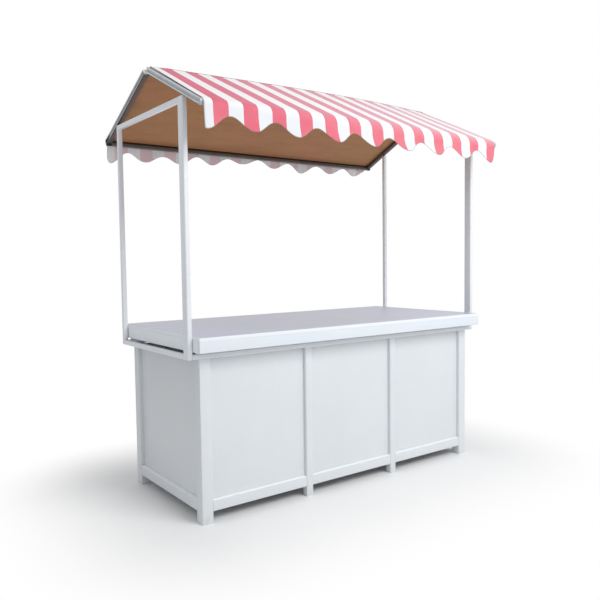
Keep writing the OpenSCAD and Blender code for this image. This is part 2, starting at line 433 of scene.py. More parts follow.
for side in ("front", "back"):
    node = f"{side}_middle_legs"
    lo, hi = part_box(node)
    spans = [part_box(f"{side}_{bay}_panel") for bay in BAYS]
    gaps = [(one[1].x, other[0].x) for one, other in zip(spans, spans[1:])]
    blocks = [((x0, lo.y, lo.z), (x1, hi.y, hi.z)) for x0, x1 in gaps]
    timber(node, "Z", LEG_EASE, painted["Z"], blocks)
print("legs:", len(CORNERS) + 2 * len(gaps))

# %% [markdown]
# ## Bottom rails and panels
#
# Each panel stands back between its legs, so the top of the rail under it shows as a ledge, made lighter by a
# painted highlight. Rails are planed timber with lightly eased edges. The panels are thin board with hardly
# any edge at all.

# %% Rails and panels
RAIL_EASE = 4.0 * MM
PANEL_EASE = 1.0 * MM

for side in ("front", "back"):
    node = f"{side}_bottom_rails"
    lo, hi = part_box(node)
    spans = [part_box(f"{side}_{bay}_panel") for bay in BAYS]
    blocks = [((a.x, lo.y, lo.z), (b.x, hi.y, hi.z)) for a, b in spans]
    timber(node, "X", RAIL_EASE, painted_rail["X"], blocks)
    for bay in BAYS:
        timber(f"{side}_{bay}_panel", "Z", PANEL_EASE, painted_panel)

for end in ("left", "right"):
    timber(f"{end}_bottom_rail", "Y", RAIL_EASE, painted_rail["Y"])
    timber(f"{end}_panel", "Z", PANEL_EASE, painted_panel)
print("panels and bottom rails:", 2 * len(BAYS) + 2, "of each")

# %% [markdown]
# ## Fascia and bearers
#
# Under the counter board a white fascia runs round, with a dark gap below it. Behind it two bearers carry the
# board. They can only be seen from underneath, but they get the same care, because the stall is seen from all
# sides.

# %% Fascia and bearers
FASCIA_EASE, TOP_EASE = 2.0 * MM, 0.6 * MM

lo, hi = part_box("long_fascias")
end_lo, end_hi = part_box("end_fascias")
blocks = [(lo, (hi.x, end_lo.y, hi.z)), ((lo.x, end_hi.y, lo.z), hi)]
timber("long_fascias", "X", (TOP_EASE, TOP_EASE, FASCIA_EASE, FASCIA_EASE), painted_edge, blocks)

fascia_t = end_lo.y - lo.y
blocks = [
    (end_lo, (end_lo.x + fascia_t, end_hi.y, end_hi.z)),
    ((end_hi.x - fascia_t, end_lo.y, end_lo.z), end_hi),
]
timber("end_fascias", "Y", (TOP_EASE, FASCIA_EASE, FASCIA_EASE, TOP_EASE), painted_end, blocks)

lo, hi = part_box("counter_bearers")
collar_lo, collar_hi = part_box("front_collar_rail")
bearer_w = collar_lo.y + collar_hi.y - 2 * lo.y
blocks = [(lo, (hi.x, lo.y + bearer_w, hi.z)), ((lo.x, hi.y - bearer_w, lo.z), hi)]
timber("counter_bearers", "X", FASCIA_EASE, painted["X"], blocks)
print(f"fascia {fascia_t / MM:.0f} mm thick, bearers {bearer_w / MM:.0f} mm wide")

# %% [markdown]
# ## The counter board
#
# The top is a smooth coating that shines softly, pale grey as painted shade from the roof over it, and the
# rounded edge round it is white like the fascia and lighter still with a painted highlight. Both are one board,
# so one finish covers it, and the height tells where the white starts.

# %% Counter board
COATING_SHADED = (0.590, 0.620, 0.740)
COATING_DIM = 0.955
BOARD_EDGE_LIT = (0.850, 0.890, 0.935)
BOARD_EASE = 6.0 * MM, 6.0 * MM, 0.6 * MM, 0.6 * MM
GREY_FROM, GREY_FULL = 0.8 * MM, 0.2 * MM


def counter_coating(name, top_z):
    """Semi-gloss: grey on the flat top as painted shade, white with a painted highlight on the edge, with faint
    clouds and fine scuffs in the gloss.
    """
    finish, shader, place = new_finish(name, Specular_IOR_Level=0.22)
    clouds = place.stretch(1.0, 2.2, 1.0).noise(2.2, 3.0, 0.55)
    scuffs = place.stretch(9.0, 60.0, 1.0).noise(1.0, 4.0, 0.65)
    peel = place.noise(420.0, 1.0)
    top = place.part("Z").step(top_z - GREY_FROM, top_z - GREY_FULL)
    grey = clouds.step(0.3, 0.7).blend(dim(COATING_SHADED, COATING_DIM), COATING_SHADED)
    # Painted shade greys the top, and a painted highlight lightens the edge.
    plug(shader, "Base Color", top.blend(BOARD_EDGE_LIT, grey))
    plug(shader, "Roughness", 0.30 + 0.12 * scuffs + 0.08 * clouds)
    plug_bump(shader, peel, 0.05 * MM)
    return finish


board_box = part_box("counter_board")
coating = counter_coating("counter_coating", board_box[1].z)
counter = bars("counter_board_coated", [board_box], "X", BOARD_EASE)
dress(counter, coating, "counter_top", "counter_board")
print("counter top at", round(board_box[1].z, 3))

# %% [markdown]
# ## The tube frame
#
# Posts, collar rails and the top rail are square steel tube, welded and painted white. A rolled tube has round
# corners and a smoother, glossier skin than timber, with no grain, only the slight drift of sprayed paint.

# %% Tube frame
TUBE_EASE = 5.0 * MM
ENAMEL, ENAMEL_THIN = (0.830, 0.855, 0.890), (0.70, 0.72, 0.74)


def white_enamel(name):
    """Sprayed white enamel on steel: soft clouds and a fine peel, a little thinner along the edges."""
    finish, shader, place = new_finish(name, Specular_IOR_Level=0.35, Coat_Weight=0.06, Coat_Roughness=0.12)
    clouds = place.noise(4.0, 3.0, 0.55)
    peel = place.noise(340.0, 2.0)
    thin = place.named("edge") * place.noise(40.0, 2.0).step(0.50, 0.72) * 0.5
    colour = clouds.step(0.3, 0.7).blend(dim(ENAMEL, PAINT_DIM), ENAMEL)
    plug(shader, "Base Color", thin.blend(colour, ENAMEL_THIN))
    plug(shader, "Roughness", 0.27 + 0.12 * clouds)
    plug_bump(shader, peel, 0.06 * MM)
    return finish


enamel = white_enamel("white_enamel")
TUBES = {
    "X": ["front_collar_rail", "back_collar_rail"],
    "Y": ["left_collar_rail", "right_collar_rail", "left_top_rail"],
    "Z": [f"{corner}_post" for corner in CORNERS],
}
for along, nodes in TUBES.items():
    for node in nodes:
        dress(bars(f"{node}_enamelled", [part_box(node)], along, TUBE_EASE), enamel, "painted_tube", node)
print("tubes:", sum(len(nodes) for nodes in TUBES.values()))

# %% [markdown]
# ## Along the slope
#
# Everything on the roof is drawn in the roof's own coordinates: `down` runs from the ridge to the eave and
# `lift` stands square to the slope. One function turns them into the stall's Y and Z, for the front or the
# back.

# %% Slope coordinates
FRONT, BACK = -1, 1
SIDES = {"front": FRONT, "back": BACK}


def on_slope(side, down, lift):
    """Y and Z of points on a slope: y = down cos p + lift sin p, z = ridge - down sin p + lift cos p."""
    y = down * math.cos(PITCH) + lift * math.sin(PITCH)
    z = RIDGE_Z - down * math.sin(PITCH) + lift * math.cos(PITCH)
    return side * y, z


def ridge_cut(lift, clear):
    """Where a piece stops beside the ridge on a plumb cut, clear of the middle by that much."""
    return (clear - lift * math.sin(PITCH)) / math.cos(PITCH)


def swept(name, rings, finish, slot, node, inside_out, **fields):
    """A piece from rings of points (rings, points, 3), closed at both ends. Rings that run the wrong way
    round are inside out, and their faces are turned."""
    faces = closed_faces(*rings.shape[:2])
    if inside_out:
        faces = [face[::-1] for face in faces]
    piece = new_piece(name, rings, faces, **fields)
    piece.data.set_sharp_from_angle(angle=SHARP)
    dress(piece, finish, slot, node)


print(f"the roof's underside ends at a height of {on_slope(FRONT, SLOPE_L, 0.0)[1]:.3f} m")

# %% [markdown]
# ## Rolled rake trims
#
# The open ends of the roof are edged with a rolled metal strip: a round bead along the top, a shallow channel,
# and a second bead along the bottom. The section is two arcs and a dip between them, carried down the slope.
# Dull metal shows long streaks from the rollers, so the finish stretches its noise along the strip.

# %% Rolled metal
TRIM_LIGHT, TRIM_DARK = (0.68, 0.72, 0.74), (0.48, 0.515, 0.545)
# Painted shade: the darkest colour darkens hollows and the back trims, the brown one the underside and back.
TRIM_SHADE, TRIM_UNDER_SHADE = (0.085, 0.085, 0.095), (0.125, 0.088, 0.076)
STREAKS_DOWN, STREAKS_ROUND = 6.0, 900.0


def rolled_metal(name, light, dark, metallic):
    """Dull rolled metal: streaks along the strip (the stored fields down and round), a slight patchiness,
    dirt and painted shade that darken the hollows and the back trims (the stored field hollow), and a brown
    painted shade on the underside (the stored field under)."""
    finish, shader, place = new_finish(name, Metallic=metallic)
    along_strip, round_strip = place.named("down") * STREAKS_DOWN, place.named("round") * STREAKS_ROUND
    streaks = place.add("CombineXYZ", values={0: along_strip, 1: round_strip}).noise(1.0, 3.0, 0.6)
    patches = place.noise(22.0, 3.0, 0.6)
    colour = (0.6 * streaks + 0.4 * patches).step(0.32, 0.70).blend(dark, light)
    colour = place.named("under").blend(colour, TRIM_UNDER_SHADE)
    plug(shader, "Base Color", place.named("hollow").blend(colour, TRIM_SHADE))
    plug(shader, "Roughness", 0.30 + 0.16 * patches + 0.10 * streaks)
    plug_bump(shader, streaks, 0.12 * MM)
    return finish


trim_metal = rolled_metal("rolled_trim", TRIM_LIGHT, TRIM_DARK, metallic=0.45)
print("finish:", trim_metal.name)

# %% Rake trims
BEAD_H, CHANNEL_D, TRIM_EASE = 9 * MM, 7 * MM, 1 * MM
SLOT_D, SLOT_X = 3 * MM, np.array([1.5, 1.0, -5.0, -5.5]) * MM
# The channel is darkened partly by dirt and partly as painted shade; the slot is a painted shadow under the
# cloth's edge.
CHANNEL_SHADE_AND_DIRT, SLOT_SHADE = 0.35, 0.9
RIDGE_CLEAR = 22 * MM
RAKE_RINGS = 41
BACK_SHADE, TIP_SHADE_FROM, TIP_SHADE_OVER = 0.30, 0.90, 0.05


def arc(centre, radius, start, stop, count):
    """Points of an arc: centre + radius * (cos a, sin a)."""
    a = np.radians(np.linspace(start, stop, count))
    return np.stack([centre[0] + radius * np.cos(a), centre[1] + radius * np.sin(a)], axis=1)


def rake_section():
    """Loop of (out, lift, hollow, under): two beads on the outer face with a channel between them, a slot
    along the top where the cloth ends, a flat back and a plain underside."""
    r = BEAD_H / 2
    low = arc((RAKE_W - r, r), r, -90, 80, 9)
    high = arc((RAKE_W - r, ROOF_T - r), r, -80, 90, 9)
    floor_lift = np.linspace(BEAD_H + TRIM_EASE, ROOF_T - BEAD_H - TRIM_EASE, 3)
    channel = np.stack([np.full(3, RAKE_W - CHANNEL_D), floor_lift], axis=1)
    slot = np.stack([RAKE_W - BEAD_H + SLOT_X, ROOF_T - np.array([0.0, SLOT_D, SLOT_D, 0.0])], axis=1)
    back = np.array([[TRIM_EASE, ROOF_T], [0, ROOF_T - TRIM_EASE], [0, TRIM_EASE], [TRIM_EASE, 0]])
    # Painted shade, with some dirt in the channel, for the channel and the slot.
    parts = [(low, 0.0), (channel, CHANNEL_SHADE_AND_DIRT), (high, 0.0), (slot, SLOT_SHADE), (back, 0.0)]
    loop = np.concatenate([np.column_stack([points, np.full(len(points), shade_and_dirt)]) for points, shade_and_dirt in parts])
    return np.column_stack([loop, (loop[:, 1] < 1.5 * TRIM_EASE) | (loop[:, 0] < 1.5 * TRIM_EASE)])


out, lift, shade_and_dirt, under = rake_section().T
share = np.linspace(0.0, 1.0, RAKE_RINGS)[:, None]
top = ridge_cut(lift, RIDGE_CLEAR)
down = top + (EAVE_INNER - top) * share
# Painted shade on the back trims, and all dark near the eave as painted shade at the tip.
back_shade = BACK_SHADE * (lift > BEAD_H) + np.clip((share - TIP_SHADE_FROM) / TIP_SHADE_OVER, 0.0, 1.0)
for end_name, end in (("left", -1), ("right", 1)):
    for side_name, side in SIDES.items():
        rings = grid_points(end * (INNER_HALF_L + out), *on_slope(side, down, lift))
        fields = {
            "down": down,
            "round": np.tile(np.arange(len(out)) * 2 * MM, RAKE_RINGS),
            "hollow": np.clip(shade_and_dirt + (side == BACK) * back_shade, 0.0, 1.0),
            "under": np.tile(under, RAKE_RINGS),
        }
        node = f"{side_name}_{end_name}_rake"
        swept(f"{node}_rolled", rings, trim_metal, "edge_trim", node, end * side > 0, **fields)
print("rake trims: 4, each", round(EAVE_INNER, 3), "m long")

# %% [markdown]
# ## Eave bars
#
# A dark bar closes each eave. Its upper outer edge is rounded, because the cloth bends over it. The weathered
# metal is nearly black at the top and at the ends as painted shade, where the board keeps it in the shade, and
# greyer below.

# %% Eave bars
EAVE_ROUND, EAVE_EASE, BACK_LIP = 13.5 * MM, 1.5 * MM, 7 * MM
EAVE_DARK, EAVE_GREY = (0.022, 0.018, 0.015), (0.190, 0.178, 0.168)
DARK_FROM, GREY_UNDER = 16 * MM, 6 * MM
CAP_GAP = 1 * MM


def eave_section(lip):
    """Loop of (down, lift): a rectangle with one round corner where the cloth turns, and a lip below it."""
    turn = arc((SLOPE_L - EAVE_ROUND, ROOF_T - EAVE_ROUND), EAVE_ROUND, 0, 90, 8)
    low = arc((SLOPE_L - EAVE_EASE, EAVE_EASE - lip), EAVE_EASE, -90, 0, 4)
    inner_low = arc((EAVE_INNER + EAVE_EASE, EAVE_EASE - lip), EAVE_EASE, 180, 270, 4)
    return np.concatenate([low, turn, [[EAVE_INNER, ROOF_T]], inner_low])


def weathered_shaded_metal(name):
    """Dark weathered metal: painted shade makes it black at the top and the ends (the stored field lift), and it
    is grey below, with streaks along X. The front bar's ends are capped with bright trim (the stored field cap)."""
    finish, shader, place = new_finish(name, Metallic=0.2)
    streaks = place.stretch(7.0, 160.0, 160.0).noise(1.0, 3.0, 0.6)
    patches = place.noise(18.0, 3.0, 0.6)
    lit = place.named("lift").step(DARK_FROM, GREY_UNDER) * (0.55 + 0.6 * patches).clip()
    colour = place.named("cap").blend(lit.blend(EAVE_DARK, EAVE_GREY), TRIM_DARK)
    plug(shader, "Base Color", colour)
    plug(shader, "Roughness", 0.42 + 0.2 * patches)
    plug_bump(shader, streaks, 0.15 * MM)
    return finish


dark_metal = weathered_shaded_metal("weathered_shaded_eave")
inner_x = np.linspace(-1.0, 1.0, 9) * INNER_HALF_L
outer_x = np.array([INNER_HALF_L + CAP_GAP, ROOF_HALF_L])
x = np.concatenate([-outer_x[::-1], inner_x, outer_x])[:, None]
at_end = np.abs(x) > INNER_HALF_L
for side_name, side in SIDES.items():
    down, lift = eave_section(BACK_LIP if side == BACK else 0.0).T
    rings = grid_points(x, *on_slope(side, down, lift))
    # Painted shade: the ends are dark all over, as the top is.
    shade = np.where(at_end, ROOF_T, lift)
    cap = np.broadcast_to(at_end * float(side == FRONT), shade.shape)
    node = f"{side_name}_eave_bar"
    swept(f"{node}_weathered", rings, dark_metal, "eave_trim", node, side == FRONT, lift=shade, cap=cap)
print("eave bars:", len(SIDES))

# %% [markdown]
# ## Ridge bar
#
# A round bar runs under the ridge, and its two ends show as small bright knobs between the rake trims. The
# radius follows a quarter ellipse at each end, so that the knobs are domed.

# %% Ridge bar
DOME, AROUND = 5 * MM, 24
KNOB_LIGHT, KNOB_DARK = (0.90, 0.90, 0.88), (0.78, 0.79, 0.79)

ridge_lo, ridge_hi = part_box("ridge_bar")
ridge_r = (ridge_hi.z - ridge_lo.z) / 2
dome = np.radians(np.linspace(4.0, 90.0, 7))
radius = np.concatenate([ridge_r * np.sin(dome), ridge_r * np.sin(dome)[::-1]])[:, None]
inset = DOME * (1 - np.cos(dome))
along = np.concatenate([ridge_lo.x + inset, ridge_hi.x - inset[::-1]])
around = np.radians(np.arange(AROUND) * 360.0 / AROUND)
middle_z = (ridge_lo.z + ridge_hi.z) / 2
rings = grid_points(along[:, None], radius * np.cos(around), middle_z + radius * np.sin(around))
knob_metal = rolled_metal("bright_ridge_metal", KNOB_LIGHT, KNOB_DARK, metallic=0.2)
swept("ridge_bar_rolled", rings, knob_metal, "edge_trim", "ridge_bar", False,
      down=np.repeat(along, AROUND), round=np.tile(around * ridge_r, len(along)))
print(f"ridge bar {2 * ridge_r / MM:.0f} mm thick")

# %% [markdown]
# ## Brown roof boards
#
# From inside the stall the roof shows its bare brown boards. Such board has fine pressed fibres, faint streaks
# along it and a soft drift from reddish to olive brown. The board is drawn a hair inside its edges so that it
# never cuts into the trims.

# %% Roof boards
BROWN, BROWN_RED, BROWN_DARK = (0.458, 0.230, 0.099), (0.494, 0.222, 0.110), (0.330, 0.166, 0.074)
BOARD_T, BOARD_CLEAR, BOARD_RINGS = 6 * MM, 0.3 * MM, 13


def bare_board(name):
    """Pressed brown board: fibres of about a millimetre along X, darker streaks of a few centimetres, and slow
    changes of colour."""
    finish, shader, place = new_finish(name, Specular_IOR_Level=0.35)
    fibres = place.stretch(120.0, 700.0, 700.0).noise(1.0, 3.0, 0.65)
    drift = place.noise(1.7, 3.0, 0.55)
    patches = place.stretch(5.0, 20.0, 20.0).noise(1.0, 4.0, 0.6)
    colour = drift.step(0.35, 0.68).blend(BROWN, BROWN_RED)
    colour = ((0.3 * fibres + 0.7 * patches).step(0.40, 0.66) * 0.45).blend(colour, BROWN_DARK)
    plug(shader, "Base Color", colour)
    plug(shader, "Roughness", 0.52 + 0.2 * fibres)
    plug_bump(shader, fibres, 0.1 * MM)
    return finish


board_finish = bare_board("bare_board")
lift = ROOF_T - np.array([BOARD_T, BOARD_T, 0.0, 0.0])
at_ridge = ridge_cut(lift, BOARD_CLEAR)
down = np.array([at_ridge[0], EAVE_INNER, EAVE_INNER, at_ridge[3]])
x = np.linspace(-INNER_HALF_L, INNER_HALF_L, BOARD_RINGS)[:, None]
for side_name, side in SIDES.items():
    rings = grid_points(x, *on_slope(side, down, lift))
    node = f"{side_name}_roof_board"
    swept(f"{node}_bare", rings, board_finish, "roof_board", node, side == FRONT)
print("roof boards:", len(SIDES))

# %% [markdown]
# ## The striped cloth
#
# One cloth covers both slopes and hangs down at each eave as a scalloped valance. A flat panel with a fold
# would look like cardboard, so the sheet is worked out as one surface: along the stall runs `x`, across it runs
# a path that comes up one valance, bends over the eave, climbs to the ridge, and goes down the other side the
# same way. The cloth is tight on the left gable and billows a little towards the middle, where it stands off
# the boards and turns over the front eave in a wide soft bend. The bends are arcs, so the stripes flow round
# them.

# %% Cloth path
CLOTH_T = 1.2 * MM
CLOTH_LIFT = ROOF_T + 1.1 * MM
RIDGE_BEND, EAVE_BEND, SOFT_BEND = 14 * MM, 37 * MM, 50 * MM
RIDGE_BILLOW, EAVE_BILLOW, VALANCE_BILLOW = 22 * MM, 11 * MM, 4 * MM
BILLOW_TURN, BILLOW_LEAN = 0.86 * math.pi, 1.3
HANG_CLEAR, EAVE_CLEAR = 3 * MM, 1 * MM
RIPPLE_H, RIPPLE_WAVES, RIPPLE_SLANTS = 2 * MM, (0.53, 0.19), (9.0, -5.0)
SEAM_H, SEAM_W, SEAM_RISE = 5 * MM, 4.5 * MM, 0.1
COLUMNS = 257
RIDGE_ROWS, SLOPE_ROWS, BEND_ROWS, VALANCE_ROWS = 4, 26, 14, 12

cover_lo, cover_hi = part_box("front_cover")
CLOTH_W = cover_hi.x - cover_lo.x
x = np.linspace(cover_lo.x, cover_hi.x, COLUMNS)
along = x - cover_lo.x
billow = np.sin(BILLOW_TURN * (along / CLOTH_W) ** BILLOW_LEAN)


def rows(start, stop, count):
    """Even steps down the cloth, as a column that broadcasts along the stall."""
    return np.linspace(start, stop, count)[:, None]


def slack(y):
    """Long soft ripples of up to 2 mm, on top of the billow: h * (1/2 + a quarter of each of two sines)."""
    long_wave, short_wave = (
        np.sin(2 * math.pi * along / wave + slant * y) for wave, slant in zip(RIPPLE_WAVES, RIPPLE_SLANTS)
    )
    return RIPPLE_H * (0.5 + 0.25 * long_wave + 0.25 * short_wave)


def half_path(side):
    """From the ridge down to where the valance starts, column by column: y, z and the length so far.

    The slope is the line z = top - y tan p between a ridge and an eave that both rise with the billow.
    The ridge arc lies under its top, and the eave arc touches the slope and the upright plane of the valance:
    centre + r * (cos a, sin a), with a falling from square to the slope down to level. A seam stands up along
    the ridge as a small parabola."""
    flat_top = RIDGE_Z + CLOTH_LIFT / math.cos(PITCH)
    hang_y = ROOF_HALF_D + HANG_CLEAR + VALANCE_BILLOW * billow
    top = flat_top + RIDGE_BILLOW * billow
    eave = flat_top - hang_y * math.tan(PITCH) + EAVE_CLEAR + EAVE_BILLOW * billow
    pitch = np.arctan2(top - eave, hang_y)
    radius = EAVE_BEND + (SOFT_BEND * billow if side == FRONT else 0.0)
    ridge_a = math.pi / 2 - pitch * rows(0.0, 1.0, RIDGE_ROWS)
    ridge_y = RIDGE_BEND * np.cos(ridge_a)
    ridge_z = top - RIDGE_BEND / np.cos(pitch) + RIDGE_BEND * np.sin(ridge_a)
    eave_a = (math.pi / 2 - pitch) * rows(1.0, 0.0, BEND_ROWS)
    centre_y = hang_y - radius
    eave_y = centre_y + radius * np.cos(eave_a)
    eave_z = top - centre_y * np.tan(pitch) - radius / np.cos(pitch) + radius * np.sin(eave_a)
    share = rows(0.0, 1.0, SLOPE_ROWS + 2)[1:-1]
    slope_y = ridge_y[-1] + (eave_y[0] - ridge_y[-1]) * share
    slope_z = ridge_z[-1] + (eave_z[0] - ridge_z[-1]) * share + slack(slope_y) * np.sin(math.pi * share)
    y, z = np.concatenate([ridge_y, slope_y, eave_y]), np.concatenate([ridge_z, slope_z, eave_z])
    steps = np.hypot(np.diff(y, axis=0), np.diff(z, axis=0))
    length = np.concatenate([np.zeros((1, COLUMNS)), np.cumsum(steps, axis=0)])
    seam_h = SEAM_H * np.clip(along / SEAM_RISE, 0.2, 1.0)
    return y, z + seam_h * np.maximum(1.0 - (length / SEAM_W) ** 2, 0.0), length


print(f"cloth {CLOTH_W:.3f} m wide, billow up to {RIDGE_BILLOW * billow.max() / MM:.0f} mm at the ridge")

# %% [markdown]
# The lower edge of a valance is a wave from lobe to lobe. It was cut by hand and it hangs in the wind, so no
# two lobes are alike. The front valance swings to the right where the cloth billows. At the back every lobe has
# its own place and its own depth, measured in the photograph, and the wave is stretched to run through them.

# %% Valance edge
FRONT_WAVE, FRONT_START, WAVE_H = 244.3 * MM, 14 * MM, 56 * MM
END_LOBE, END_LOBE_REACH = 12 * MM, 0.1
BACK_LOWS = np.array([20, 237, 469, 700, 921, 1174, 1411, 1682, 1916, 2150]) * MM
BACK_DEPTHS = np.array([42, 22, 14, 3, -21, -10, 7, -7, -4, -4]) * MM
BACK_CRESTS = np.array([30, 36, 17, 12, 0, 6, 6, 5, 5]) * MM
CORNERS_ROUND = {FRONT: (2 * MM, 36 * MM), BACK: (26 * MM, 10 * MM)}


def corner_rise(distance, radius):
    """How far a round corner lifts the edge at that distance from the end: r - sqrt(r^2 - (r - distance)^2)."""
    inside = np.clip(radius - distance, 0.0, radius)
    return radius - np.sqrt(np.maximum(radius**2 - inside**2, 0.0))


def valance_edge(side, lobe_z):
    """Height of the lower edge: lobe + (crest - lobe) * (1 - cos(2 pi turns)) / 2, lifted at the corners.
    The two end lobes of the front are a little longer."""
    crest = lobe_z + WAVE_H
    if side == FRONT:
        turns = (along - FRONT_START) / FRONT_WAVE
        near_end = np.exp(-along / END_LOBE_REACH) + np.exp((along - CLOTH_W) / END_LOBE_REACH)
        low = lobe_z - END_LOBE * near_end
    else:
        lobes = np.arange(len(BACK_LOWS))
        turns = np.interp(along, BACK_LOWS, lobes)
        low = lobe_z - np.interp(turns, lobes, BACK_DEPTHS)
        crest = crest - np.interp(turns, lobes[:-1] + 0.5, BACK_CRESTS)
    first, last = CORNERS_ROUND[side]
    rise = corner_rise(along, first) + corner_rise(CLOTH_W - along, last)
    return low + (crest - low) * (1.0 - np.cos(2.0 * math.pi * turns)) / 2.0 + rise


print("front lobes:", round(CLOTH_W / FRONT_WAVE, 1), "waves, back lobes:", int((BACK_LOWS < CLOTH_W).sum()))

# %% [markdown]
# Now the two halves can hang. Below the bend the cloth sways a little more the further it falls, and it is
# drawn in at its right end. The halves meet at the ridge and become one grid, whose rows run from the edge of
# the front valance over the roof to the edge of the back one. The flat measures of every point are kept too.

# %% Cloth sheet
SWAYS = ((3.0 * MM, 0.61, 1.0), (3.0 * MM, 0.244, 1.7), (1.5 * MM, 0.137, 3.1))
SWAY_PHASE = {FRONT: 0.4, BACK: 2.1}
HANG_OUT, BILLOW_OUT, FALL_POWER = 2 * MM, 5 * MM, 1.5
SWUNG, DRAWN_IN, DRAWN_POWER = 20 * MM, 24 * MM, 8
RIDGE_DRAW, DRAW_POWER, DRAW_REACH = 20 * MM, 1.2, 0.22


def half_cloth(side, lobe_z):
    """One half of the cloth from the ridge down: x, y, z, the length from the ridge, and how free it hangs.

    Below the bend, t runs from 0 to 1 at the edge, and fall is the share of the full drop. The cloth sways by
    a sum of slow sines times fall^1.5, the front swings to the right by SWUNG * billow * fall^2, and the right
    end draws in by DRAWN_IN * fall. On the slope the left end is drawn in by up to RIDGE_DRAW towards the
    ridge, dying out along the stall as exp(-(distance / DRAW_REACH)^2)."""
    y, z, length = half_path(side)
    t = rows(0.0, 1.0, VALANCE_ROWS + 1)[1:]
    drop_z = z[-1] + (valance_edge(side, lobe_z) - z[-1]) * t
    fall = (z[-1] - drop_z) / (z[-1] - lobe_z)
    phase = SWAY_PHASE[side]
    sway = sum(size * np.sin(2 * math.pi * along / wave + turns * phase) for size, wave, turns in SWAYS)
    drop_y = y[-1] + (sway + HANG_OUT + BILLOW_OUT * billow) * fall**FALL_POWER
    to_ridge = np.clip(1.0 - length / length[-1], 0.0, 1.0) ** DRAW_POWER
    top_x = x + RIDGE_DRAW * to_ridge * np.exp(-((along / DRAW_REACH) ** 2))
    swung = (side == FRONT) * SWUNG * billow * fall**2
    drop_x = x + swung - DRAWN_IN * fall * (along / CLOTH_W) ** DRAWN_POWER
    bend = np.linspace(0.0, 1.0, BEND_ROWS)
    free = np.concatenate([np.zeros(len(z) - BEND_ROWS), bend, np.ones(VALANCE_ROWS)])
    columns = [
        np.concatenate([top_x, drop_x]),
        side * np.concatenate([y, drop_y]),
        np.concatenate([z, drop_z]),
        np.concatenate([length, length[-1] + (z[-1] - drop_z)]),
        np.broadcast_to(free[:, None], (len(free), COLUMNS)),
    ]
    return np.stack(columns, axis=-1)


halves = {side: half_cloth(side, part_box(f"{name}_valance")[0].z) for name, side in SIDES.items()}
front_first = halves[FRONT][:0:-1] * np.array([1.0, 1.0, 1.0, -1.0, 1.0])
cloth = np.concatenate([front_first, halves[BACK]])
flat_x = np.broadcast_to(along, cloth.shape[:2])
flat_s, free = cloth[..., 3], cloth[..., 4]
to_ends = np.minimum(flat_x, CLOTH_W - flat_x)
to_edge = np.minimum(flat_s - flat_s[:1], flat_s[-1:] - flat_s)
hem = np.minimum(to_ends, to_edge)
print("cloth grid", cloth.shape[:2])

# %% [markdown]
# The stripes are woven, so they are laid out on the flat cloth: a narrow white strip first, then red and white
# in turn. Canvas has a fine plain weave, and sun fades it unevenly. The hem darkens a little where it is
# turned.

# %% Striped canvas
STRIPE, FIRST_RED, RED_W = 157.3 * MM, 46 * MM, 79.5 * MM
STRIPE_SOFT, FRAY, HEM_W = 0.8 * MM, 1.6 * MM, 4 * MM
RIDGE_SOFT = 20 * MM
THREADS = 3100.0
RED, RED_FADED = (0.695, 0.108, 0.182), (0.715, 0.150, 0.222)
WHITE, WHITE_DULL = (0.955, 0.930, 0.940), (0.930, 0.912, 0.925)
LIT_WHITE, LIT_RED, BLEACH_AND_SHEEN_RED = (0.790, 0.815, 0.840), (0.830, 0.240, 0.275), (0.820, 0.640, 0.700)
HEM = (0.30, 0.25, 0.25)
# The inside's colours are raised as painted light that comes through the cloth.
REVERSE_RED_LIT, REVERSE_WHITE_LIT = (0.93, 0.72, 0.77), (0.95, 0.955, 0.97)


def striped_canvas(name, reds, whites, lit_white, lit_red, bleach_and_sheen_red):
    """Woven stripes on the flat cloth's own measures, with weave, fading, a turned hem and a seam on the ridge.
    Where the cloth hangs free, light comes through it and its white and red turn towards the lit colours.
    On the front slope the red pales to the right, partly sun bleaching and partly a painted sheen."""
    finish, shader, place = new_finish(name, Specular_IOR_Level=0.25, Sheen_Weight=0.2, Sheen_Roughness=0.35)
    across, run, hem, free = (place.named(field) for field in ("flat_x", "flat_s", "hem", "free"))
    flat = place.add("CombineXYZ", values={0: across, 1: run})
    beat = (across + flat.noise(420.0, 2.0) * FRAY - FIRST_RED) % STRIPE
    red = beat.step(-STRIPE_SOFT, STRIPE_SOFT) * beat.step(RED_W + STRIPE_SOFT, RED_W - STRIPE_SOFT)
    fading = flat.noise(2.3, 4.0, 0.6).step(0.34, 0.70)
    thread = flat.stretch(1.0, 0.12, 1.0).noise(900.0, 2.0)
    # Painted sheen and sun bleaching: the red of the front slope pales to the right.
    bleach_and_sheen = (across / CLOTH_W).clip() * run.step(RIDGE_SOFT, -RIDGE_SOFT) * (1.0 - free) * 0.8
    red_now = bleach_and_sheen.blend(fading.blend(*reds), bleach_and_sheen_red)
    red_now = (0.3 * free + 0.5 * free * fading).blend(red_now, lit_red)
    white_now = free.blend(fading.blend(*whites), lit_white)
    colour = (thread.step(0.45, 0.75) * 0.05).blend(red.blend(white_now, red_now), HEM)
    turned = hem.step(HEM_W, HEM_W / 2) * 0.5
    seam = run.math("ABSOLUTE").step(SEAM_W, SEAM_W / 2)
    plug(shader, "Base Color", turned.math("MAXIMUM", seam).blend(colour, HEM))
    plug(shader, "Roughness", 0.72 + 0.14 * fading)
    weave = (across * THREADS).math("SINE") * (run * THREADS).math("SINE")
    plug_bump(shader, 0.5 + 0.5 * weave, 0.12 * MM)
    return finish


